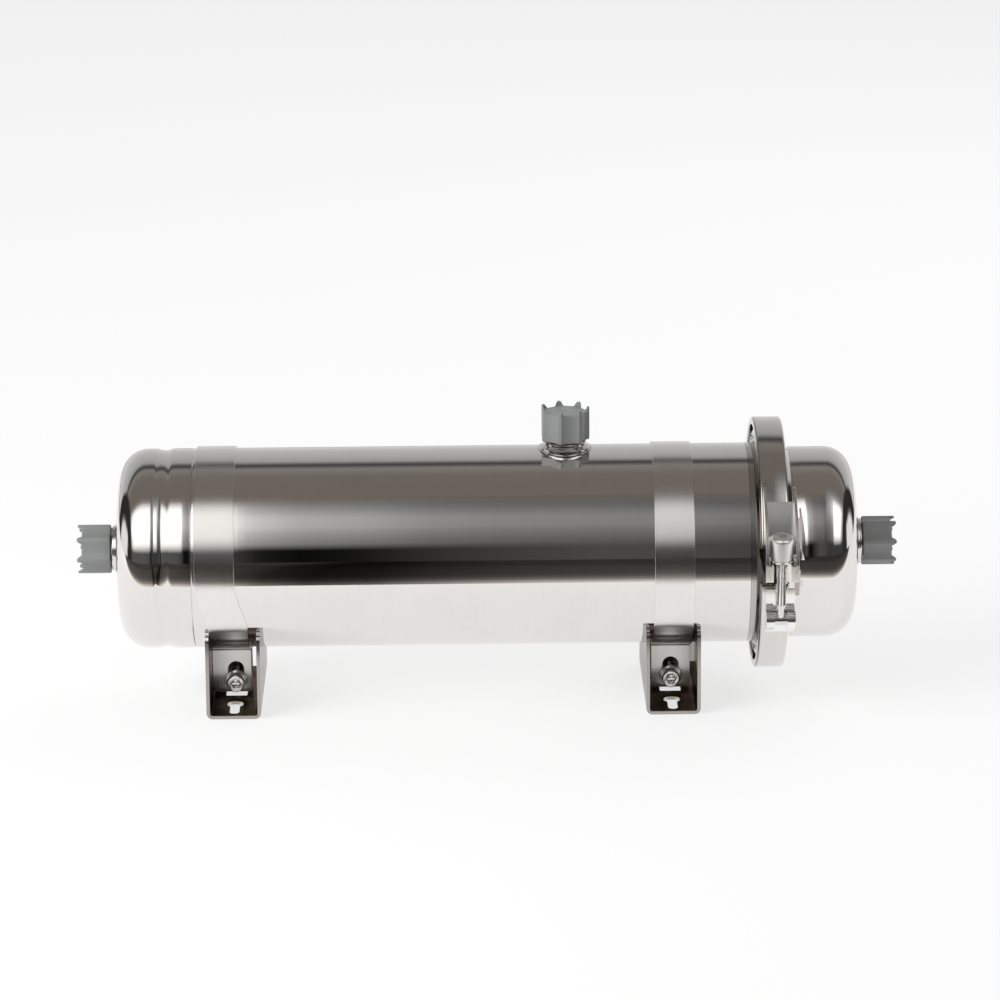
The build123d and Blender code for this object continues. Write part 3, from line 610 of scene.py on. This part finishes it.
def tubeLook():
    top, start, end, port = vessel["radius"], vessel["seamX"], vessel["shellEndX"], vessel["topPortX"]
    inner, margin = top - vessel["wall"], vessel["portMargin"]
    outline = [(start, inner)] + [(start + x, top - drop) for x, drop in vessel["seamRound"]]
    outline += [(port - margin, top), (port + margin, top), (end, top), (end, inner)]
    outline += [(port + margin, inner), (port - margin, inner)]
    made = bored(
        lathe("shellTube", outline, roundSteps), vessel["portSteps"], vessel["portHole"], vessel["portDepth"],
        placeOn(port, 0, axisHeight + top))
    show(made, "polished_steel", "shell_tube")


dishedShell("fixedHead", fixedSkirt, vessel["fixedKnuckleX"], -1, "fixed_end_head")
dishedShell("endCap", capSkirt, vessel["capKnuckleX"], 1, "end_cap_dome")
tubeLook()
print("vessel turned")

# Clamp band: a rolled channel, open at the latch
clamp = {
    "middleX": 177.2, "radius": 70.7, "thickness": 1.0, "width": 16.0, "shoulder": 1.5, "innerCorner": 0.52,
    "lip": 4.2, "gapAbove": 13.5, "gapBelow": 3.0, "outerSteps": 6, "innerSteps": 3, "edge": 0.15,
}


def bandOutline():
    half, shoulder, thickness = clamp["width"] / 2, clamp["shoulder"], clamp["thickness"]
    lip = clamp["radius"] - clamp["lip"]
    centre = (half - shoulder, clamp["radius"] - shoulder)
    rightOut = arcPoints(centre, shoulder, 0, math.pi / 2, clamp["outerSteps"])
    rightIn = arcPoints(centre, clamp["innerCorner"], math.pi / 2, 0, clamp["innerSteps"])
    leftOut = [(-x, y) for x, y in reversed(rightOut)]
    leftIn = [(-x, y) for x, y in reversed(rightIn)]
    outline = [(half, lip)] + rightOut + leftOut + [(-half, lip), (-half + thickness, lip)]
    outline += leftIn + rightIn + [(half - thickness, lip)]
    return [(clamp["middleX"] + x, y) for x, y in outline]


band = lathe("clampBandLook", bandOutline(), roundSteps, clamp["gapAbove"], 360 - clamp["gapBelow"])
show(baked(band, bevel(clamp["edge"], turnedAngle)), "clamp_steel", "clamp_band")
print("band rolled")

# Latch hardware, turned about the bolt; heights are from the cross pin, mm
latch = {
    "x": 180.2, "reach": 76.8, "angle": -17.5, "tilt": 9.5, "seat": 36.2,
    "boltRadius": 2.5, "boltRoot": 1.95, "boltLength": 47.6, "plainLength": 9.4, "runOut": 0.5, "tip": 0.6,
    "pinRadius": 3.2, "pinLength": 16.0, "chamfer": 0.5, "pinFlat": 0.2, "bore": 2.56,
    "washer": 1.2, "washerRadius": 6.5, "washerEdge": 0.2,
    "nutRadius": 6.1, "nutLength": 13.5, "nutEdge": 0.3, "nutFlat": 0.4, "dome": 2.2, "domeSteps": 10,
    "socketFlats": 5.2, "socketDepth": 3.0, "boltSteps": 48, "nutSteps": 72, "washerSteps": 64,
}
boltThread = {"start": 9.6, "length": 37.4, "crest": 2.5, "ridge": 0.42, "pitch": 0.8}
lean = math.radians(latch["angle"])
latchPlace = placeOn(
    latch["x"], -latch["reach"] * math.cos(lean), axisHeight + latch["reach"] * math.sin(lean), latch["tilt"])


def boltLook():
    radius, root, chamfer = latch["boltRadius"], latch["boltRoot"], latch["chamfer"]
    length, plain = latch["boltLength"], latch["plainLength"]
    shank = lathe("shank", [
        (0, 0), (0, radius), (plain, radius), (plain + latch["runOut"], root),
        (length - latch["tip"], root), (length, root - chamfer), (length, 0),
    ], latch["boltSteps"], place=latchPlace)
    end, fat = latch["pinLength"] / 2, latch["pinRadius"]
    half = [(end, 0), (end, fat - chamfer), (end - chamfer, fat), (end - chamfer - latch["pinFlat"], fat)]
    crossPin = lathe(
        "crossPin", [(-x, y) for x, y in half] + half[::-1], latch["boltSteps"],
        place=latchPlace @ Matrix.Rotation(math.pi / 2, 4, "Y"))
    made = threaded(joined("teeBolt", shank, crossPin), latchPlace, boltThread, "fastener_steel")
    show(made, "fastener_steel", "latch_tee_bolt")


def nutLook():
    radius, dome, bore = latch["nutRadius"], latch["dome"], latch["bore"]
    edge, flat, base = latch["nutEdge"], latch["nutFlat"], latch["seat"] + latch["washer"]
    top = base + latch["nutLength"]
    shoulder = top - dome
    rounded = arcPoints((radius - dome, shoulder), dome, 0, math.pi / 2, latch["domeSteps"])
    outline = [(base, bore), (base, radius - edge), (base + edge, radius), (base + edge + flat, radius),
               (shoulder - flat, radius)] + [(height, out) for out, height in rounded] + [(top, bore)]
    made = bored(
        lathe("barrelNut", outline, latch["nutSteps"], place=latchPlace), 6,
        latch["socketFlats"] / math.sqrt(3), 2 * latch["socketDepth"], latchPlace @ lifted(top),
        weightedNormals)
    show(made, "fastener_steel", "latch_nut")


def washerLook():
    low, high, radius = latch["seat"], latch["seat"] + latch["washer"], latch["washerRadius"]
    edge, bore = latch["washerEdge"], latch["bore"]
    made = lathe("boltWasher", [
        (low, bore), (low, radius - edge), (low + edge, radius), (high - edge, radius), (high, radius - edge),
        (high, bore)], latch["washerSteps"], place=latchPlace)
    show(made, "fastener_steel", "latch_washer")


boltLook()
nutLook()
washerLook()
print("latch turned")

# Screw caps: one sector is drawn and repeated round; heights are from the open rim, mm
screwCap = {
    "outer": 13.85, "hollowAt": 23.7, "hollowRadius": 12.0, "sectors": 7, "columns": 26, "gap": 0.6,
    "bore": 10.648, "boreDepth": 13.2, "boreFlat": 9.9, "boreCorner": 0.6, "plate": 16.2, "plateInner": 6.0,
    "tip": 2.6, "tipRadius": 12.6, "tipSpread": 10.2, "tipPower": 0.8, "tipWall": 0.6,
    "boreRound": [(0.0, 0.5), (0.35, 0.1), (0.6, 0.0)],  # out from the bore, up from the rim
    "rimRound": [(0.75, 0.0), (0.4, 0.12), (0.12, 0.4), (0.0, 0.8)],  # in from the side, up from the rim
    "sideRows": [5.0, 10.0, 15.2],
    "tipRound": [(0.0, 0.45), (0.1, 0.18), (0.3, 0.04), (0.5, 0.0)],  # in from the side, down from the top
    # in from the tip's inner face, down from the top, and further down where the tip is full
    "tipBack": [(-0.08, 0.0, 0.0), (0.02, 0.1, 0.0), (0.08, 0.0, 0.4)],
    "plateEdge": [(0.15, 0.12), (0.45, 0.0)],  # in from there, up from the plate where the tip is full
    "gateMark": [(1.6, 0.0), (1.35, 0.2), (0.5, 0.25), (0.0, 0.25)],  # radius, down from the plate
}
ports = {
    "inlet": {"x": -188.7, "z": 0.0, "turn": -90, "collar": 2.4},
    "flush": {"x": 228.0, "z": 0.0, "turn": 90, "collar": 2.4},
    "outlet": {"x": 63.7, "z": 56.2, "turn": 0, "collar": 4.4},
}


def capProfile(off):
    # half section at an angle from the sector's middle, where the tip stands
    away, hollow, outer, plate, bore, depth = (screwCap[key] for key in (
        "hollowAt", "hollowRadius", "outer", "plate", "bore", "boreDepth"))
    fromHollow = math.pi / screwCap["sectors"] - abs(off)
    inside = hollow ** 2 - (away * math.sin(fromHollow)) ** 2
    reach = min(outer, away * math.cos(fromHollow) - math.sqrt(inside)) if inside > 0 else outer
    share = max(0.0, 1 - (math.degrees(off) / screwCap["tipSpread"]) ** 2)
    top = plate + screwCap["tip"] * share ** screwCap["tipPower"]
    inner = min(screwCap["tipRadius"], reach - screwCap["tipWall"])
    profile = [(0, depth), (screwCap["boreFlat"], depth), (bore, depth - screwCap["boreCorner"])]
    profile += [(bore + out, up) for out, up in screwCap["boreRound"]]
    profile += [(reach - back, up) for back, up in screwCap["rimRound"]]
    profile += [(reach, up) for up in screwCap["sideRows"]]
    profile += [(reach - back, top - down) for back, down in screwCap["tipRound"]]
    profile += [(inner - back, top - down - fading * share) for back, down, fading in screwCap["tipBack"]]
    profile += [(inner - back, plate + up * share) for back, up in screwCap["plateEdge"]]
    profile += [(screwCap["plateInner"], plate)]
    profile += [(radius, plate - down) for radius, down in screwCap["gateMark"]]
    return profile


def capSector():
    half = math.pi / screwCap["sectors"]
    columns = screwCap["columns"]
    verts, faces = [], []
    for column in range(columns + 1):
        off = half * (2 * column / columns - 1)
        profile = capProfile(off)
        verts += [(r * math.cos(off) * mm, r * math.sin(off) * mm, z * mm) for r, z in profile]
    rows = len(profile)
    for column in range(columns):
        for row in range(rows - 1):
            at = column * rows + row
            faces.append((at, at + 1, at + rows + 1, at + rows))
    mesh = bpy.data.meshes.new("capSector")
    mesh.from_pydata(verts, [], faces)
    return linked("capSector", mesh)


def roundTree():
    # repeats a sector about Z and welds the copies into one skin
    tree, given, out = newGroup("GeometryNodeTree", "ribbedRound", [
        ("Sector", "Geometry", None), ("Count", "Int", 7), ("Weld", "Float", 0.00001),
        ("Finish", "Material", None),
    ], [("Geometry", "Geometry")])
    points = addNode(tree, "GeometryNodeMeshLine", None, {
        "Count": given["Count"], "Offset": (0, 0, 0)}).outputs[0]
    index = addNode(tree, "GeometryNodeInputIndex").outputs[0]
    step = calc(tree, "DIVIDE", 2 * math.pi, given["Count"])
    turned = addNode(tree, "ShaderNodeCombineXYZ", None, {"Z": times(tree, index, step)}).outputs[0]
    copies = addNode(tree, "GeometryNodeInstanceOnPoints", None, {
        "Points": points, "Instance": given["Sector"], "Rotation": turned}).outputs[0]
    real = addNode(tree, "GeometryNodeRealizeInstances", None, {0: copies}).outputs[0]
    welded = addNode(tree, "GeometryNodeMergeByDistance", None, {
        "Geometry": real, "Distance": given["Weld"]}).outputs[0]
    endTree(tree, welded, given["Finish"], out)
    return tree


def portPlace(port):
    # on the collar's outer face, with Z along the port
    return placeOn(port["x"], 0, axisHeight + port["z"], 0, port["turn"]) @ lifted(port["collar"])


ribbedRound = roundTree()
for name, port in ports.items():
    made = grown(capSector(), ribbedRound, {"Count": screwCap["sectors"], "Finish": finishes["grey_plastic"]})
    outward(made.data, copyGap)
    made.name = name + "CapLook"
    made.data.transform(portPlace(port) @ lifted(screwCap["gap"]))
    show(made, "grey_plastic", name + "_cap")
print("caps ribbed")


# The other pieces keep the CAD shape, with broken edges and cut threads
def narrowed(work, place, thread):
    # takes the plain shank of a CAD copy down to the thread's root
    back = place.inverted()
    for vert in work.verts:
        local = back @ vert.co
        across = math.hypot(local.x, local.y)
        if thread["low"] * mm < local.z < thread["high"] * mm and across > thread["above"] * mm:
            local.x, local.y = (value * thread["root"] * mm / across for value in (local.x, local.y))
            vert.co = place @ local


def dressedCopy(node, finish, edge, place=None, thread=None):
    def change(work):
        bmesh.ops.remove_doubles(work, verts=work.verts, dist=copyGap)
        bmesh.ops.dissolve_limit(work, angle_limit=flatAngle, verts=work.verts, edges=work.edges)
        if thread:
            narrowed(work, place, thread)
    mesh = reworked(nodes[node].data.copy(), change)
    mesh.materials.clear()
    made = baked(finished(mesh, node + "Look"), bevel(edge, copyAngle), weightedNormals)
    if thread:
        made = threaded(made, place, thread, finish)
    show(made, finish, node)


# Finish, width of the broken edges in mm, and the pieces
looks = [
    ("bracket_steel", 0.3, ["upper_latch_bracket", "lower_latch_bracket"]),
    ("clamp_steel", 0.12, ["clamp_retainer_1", "clamp_retainer_2", "clamp_retainer_3"]),
    ("polished_steel", 0.15, ["shell_ferrule", "end_cap_ferrule"]),
    ("foot_steel", 0.3, ["left_foot", "right_foot"]),
    ("satin_steel", 0.15, ["left_strap", "right_strap"]),
    ("fastener_steel", 0.2, [
        side + piece for side in ("left", "right") for piece in ("_strap_washers", "_strap_nut")]),
]
for finish, edge, names in looks:
    for name in names:
        dressedCopy(name, finish, edge)
    print("dressed", finish, len(names))

# Threads: low and high bound the shank that is narrowed, where it is thicker than above; mm
portThread = {
    "low": 0.3, "high": 12.4, "above": 9.55, "root": 9.35, "edge": 0.15,
    "start": 1.3, "length": 9.9, "crest": 10.4775, "ridge": 0.8, "pitch": 1.814,
}
strapThread = {
    "low": -31.0, "high": -1.5, "above": 2.2, "root": 2.5, "edge": 0.2,
    "start": -29.4, "length": 26.8, "crest": 3.0, "ridge": 0.42, "pitch": 1.0,
}
strapScrew = {"spread": 123.0, "y": -9.6, "z": -76.0}
for name, port in ports.items():
    dressedCopy(name + "_port", "port_steel", portThread["edge"], portPlace(port), portThread)
for side, sign in (("left", -1), ("right", 1)):
    place = placeOn(sign * strapScrew["spread"], strapScrew["y"], axisHeight + strapScrew["z"], 90)
    dressedCopy(side + "_strap_screw", "fastener_steel", strapThread["edge"], place, strapThread)
print("threads cut")

hidden = {
    "seal_rubber": ["flange_gasket", "left_seal_ring", "right_seal_ring",
                    "inlet_cap_disc", "flush_cap_disc", "outlet_cap_disc"],
    "white_plastic": ["guard_sleeve", "left_end_ring", "right_end_ring"],
    "resin": ["left_potting_disc", "right_potting_disc"],
    "fibre": ["fibre_bundle"],
}
for finish, names in hidden.items():
    for name in names:
        nodes[name].data.materials.clear()
        nodes[name].data.materials.append(finishes[finish])

# Studio: floor, a dark card and a shell that only gloss sees, two lamps and the camera; metres
studio = {
    "floorSize": 6.0, "floorTone": (0.93, 0.93, 0.93, 1), "floorGlow": 0.7, "ambient": 0.55,
    "cardEdge": -0.20, "cardHeight": 0.0006, "cardWarmth": (1.08, 1.0, 0.92), "reach": 3.0,
}


def emissive(name, build):
    material = bpy.data.materials.new(name)
    material.use_nodes = True
    tree = material.node_tree
    tree.nodes.clear()
    out = addNode(tree, "ShaderNodeOutputMaterial")
    tree.links.new(build(tree), out.inputs["Surface"])
    material.cycles.emission_sampling = "NONE"
    return material


def plane(name, low, high, z, material):
    mesh = bpy.data.meshes.new(name)
    mesh.from_pydata([(low[0], low[1], z), (high[0], low[1], z), (high[0], high[1], z), (low[0], high[1], z)],
                     [], [(0, 1, 2, 3)])
    mesh.materials.append(material)
    made = linked(name, mesh)
    return made


def onlyGloss(made):
    made.visible_camera = made.visible_diffuse = made.visible_shadow = False
    made.visible_transmission = made.visible_volume_scatter = False


def ramp(tree, value, stops):
    # stops are (value, grey level or colour), in rising order
    low, high = stops[0][0], stops[-1][0]
    node = addNode(tree, "ShaderNodeValToRGB", None, {"Fac": span(tree, value, low, high)})
    elements = node.color_ramp.elements
    elements.remove(elements[1])
    for index, (at, level) in enumerate(stops):
        position = (at - low) / (high - low)
        element = elements.new(position) if index else elements[0]
        element.position = position
        element.color = (*level, 1) if isinstance(level, tuple) else (level, level, level, 1)
    return node.outputs["Color"]


def glow(tree, color):
    return addNode(tree, "ShaderNodeEmission", None, {"Color": color}).outputs[0]


def floorShader(tree):
    diffuse = addNode(tree, "ShaderNodeBsdfDiffuse", None, {"Color": studio["floorTone"]})
    share = times(tree, seenDirectly(tree), studio["floorGlow"])
    sockets = {0: share, 1: diffuse.outputs[0], 2: glow(tree, (1, 1, 1, 1))}
    return addNode(tree, "ShaderNodeMixShader", None, sockets).outputs[0]


cardDepth = [
    (-0.8, 0.55), (-0.62, 0.75), (-0.44, 0.85), (-0.32, 1.0), (-0.272, 1.6), (-0.236, 3.6), (-0.2, 12.0),
]
cardAcross = [
    (-0.4, 0.10), (-0.208, 0.085), (-0.144, 0.055), (-0.116, 0.018), (-0.088, 0.008), (-0.048, 0.012),
    (0.0, 0.032), (0.056, 0.052), (0.12, 0.062), (0.2, 0.058), (0.4, 0.06),
]


def cardShader(tree):
    # dark, darkest left of the middle, with a bright edge close to the object
    x, y, z = objectAxes(tree)
    shade = multiplied(tree, ramp(tree, y, cardDepth), ramp(tree, x, cardAcross))
    return glow(tree, multiplied(tree, shade, studio["cardWarmth"]))


half = studio["floorSize"] / 2
plane("floorSheet", (-half, -half), (half, half), 0.0, emissive("floorPaper", floorShader))
onlyGloss(plane(
    "frontCard", (-half, -half), (half, studio["cardEdge"]), studio["cardHeight"],
    emissive("blackCard", cardShader)))

# Surround: angles run from 0 straight in front, through 90 overhead, to 180 behind, and sides are
# shares of the shell's radius along X; a pair of them is where a thing begins and where it is full
surround = {
    "bands": [
        (-20, 0.02), (14, 0.17), (19, 0.20), (24, 0.25), (33, 0.35), (38, 0.43), (47, 0.45), (52, 0.40),
        (57, 0.32), (66, 0.205), (72, (0.18, 0.158, 0.140)), (90, (0.178, 0.156, 0.140)),
        (104, (0.185, 0.166, 0.150)), (116, (0.245, 0.23, 0.215)), (119.6, 0.14), (123.4, 0.055),
        (127.3, 0.18), (130, 0.33), (133, 0.40), (142, 0.47), (160, 0.55), (180, 0.74)],
    "raisedFrom": (0.12, 0.17), "raise": 12, "raisedUpTo": 84, "overhead": (62, 76), "lowZone": (19, 12),
    "sideLevels": [
        (-0.2, 2.6), (-0.12, 2.4), (-0.09, 1.9), (-0.078, 1.5), (-0.061, 1.12), (-0.037, 1.0), (-0.01, 0.74),
        (0.02, 0.65), (0.061, 0.61), (0.10, 0.57), (0.13, 0.44), (0.16, 0.8), (0.2, 1.1), (0.3, 1.6)],
    "lowLevels": [
        (-0.2, 0.10), (-0.12, 0.085), (-0.09, 0.05), (-0.078, 0.012), (-0.061, 0.004), (-0.037, 0.010),
        (-0.01, 0.032), (0.02, 0.055), (0.061, 0.08), (0.10, 0.075), (0.13, 0.065), (0.16, 0.045),
        (0.3, 0.05)],
    "boxHeight": ((10, 27), (70, 56)), "leftBox": ((-0.084, -0.098), (-0.80, -0.70)),
    "rightBox": ((0.32, 0.40), (0.80, 0.70)), "boxLevel": (1.6, 1.58, 1.55, 1),
    "flag": ((0.80, 0.84), (0.96, 0.93)), "flagLevel": (0.03, 0.029, 0.028, 1),
    "open": (0.95, 0.97), "openLevel": (0.9, 0.9, 0.9, 1), "mesh": (96, 48),
}


def between(tree, value, rise, fall):
    return times(tree, span(tree, value, *rise), span(tree, value, *fall))


def shellShader(tree):
    x, y, z = objectAxes(tree)
    height = calc(tree, "SUBTRACT", z, axisHeight * mm)
    angle = times(tree, calc(tree, "ARCTAN2", height, times(tree, y, -1.0)), 180 / math.pi)
    side = calc(tree, "DIVIDE", x, studio["reach"])
    far = calc(tree, "ABSOLUTE", side)

    # the bands stand higher at the removable end, except those overhead and behind
    shift = span(tree, side, *surround["raisedFrom"], 0, surround["raise"])
    unmoved = times(tree, calc(tree, "GREATER_THAN", angle, surround["raisedUpTo"]), angle)
    bands = ramp(
        tree, calc(tree, "MAXIMUM", calc(tree, "SUBTRACT", angle, shift), unmoved), surround["bands"])
    levels = ramp(tree, side, surround["sideLevels"])
    levels = blended(tree, span(tree, angle, *surround["overhead"]), levels, (1, 1, 1, 1))
    low = ramp(tree, side, surround["lowLevels"])
    shown = blended(tree, span(tree, angle, *surround["lowZone"]), multiplied(tree, bands, levels), low)

    # two light boxes, dark flags beyond them and open ends
    boxes = calc(tree, "MAXIMUM", between(tree, side, *surround["leftBox"]),
                 between(tree, side, *surround["rightBox"]))
    boxes = times(tree, between(tree, angle, *surround["boxHeight"]), boxes)
    shown = blended(tree, boxes, shown, surround["boxLevel"])
    shown = blended(tree, between(tree, far, *surround["flag"]), shown, surround["flagLevel"])
    shown = blended(tree, span(tree, far, *surround["open"]), shown, surround["openLevel"])
    return glow(tree, shown)


def shellMesh():
    def change(work):
        across, around = surround["mesh"]
        bmesh.ops.create_uvsphere(work, u_segments=across, v_segments=around, radius=studio["reach"])
        bmesh.ops.reverse_faces(work, faces=work.faces)
    mesh = reworked(bpy.data.meshes.new("studioShell"), change)
    mesh.transform(lifted(axisHeight))
    mesh.materials.append(emissive("studioSurround", shellShader))
    return mesh


studioShell = linked("studioShell", shellMesh())
onlyGloss(studioShell)

world = bpy.data.worlds.new("studioWorld")
scene.world = world
world.use_nodes = True
tree = world.node_tree
background = tree.nodes["Background"]
background.inputs["Color"].default_value = (1, 1, 1, 1)
tree.links.new(span(tree, seenDirectly(tree), 0, 1, studio["ambient"], 1.0), background.inputs["Strength"])

lampTarget = Vector((0, 0, 0.08))
lamps = {
    "keyLamp": {"place": (-1.5, -0.9, 1.0), "size": (1.4, 1.0), "power": 34.0},
    "rimLamp": {"place": (0.9, 1.2, 1.3), "size": (1.2, 0.9), "power": 8.0},
}
for name, settings in lamps.items():
    lamp = bpy.data.lights.new(name, "AREA")
    lamp.shape = "RECTANGLE"
    lamp.size, lamp.size_y = settings["size"]
    lamp.energy = settings["power"]
    made = linked(name, lamp)
    made.location = settings["place"]
    made.rotation_euler = (lampTarget - Vector(settings["place"])).to_track_quat("-Z", "Y").to_euler()
    made.visible_glossy = made.visible_camera = False

view = {
    "distance": 2.5, "elevation": 16.5, "aimX": 0.0272, "aimRise": 0.026, "roll": -0.43,
    "lens": 159.6, "sensor": 36, "reach": 30,
}
tilt = math.radians(view["elevation"])
spot = Vector((0, -view["distance"] * math.cos(tilt), axisHeight * mm + view["distance"] * math.sin(tilt)))
aim = Vector((view["aimX"], 0, axisHeight * mm + view["aimRise"]))
cameraData = bpy.data.cameras.new("photoCamera")
cameraData.lens = view["lens"]
cameraData.sensor_width = view["sensor"]
cameraData.clip_end = view["reach"]
camera = linked("photoCamera", cameraData)
turn = (aim - spot).to_track_quat("-Z", "Y").to_matrix().to_4x4()
camera.matrix_world = Matrix.Translation(spot) @ turn @ Matrix.Rotation(math.radians(view["roll"]), 4, "Z")
scene.camera = camera
scene.view_settings.view_transform = "Standard"

print("studio ready")
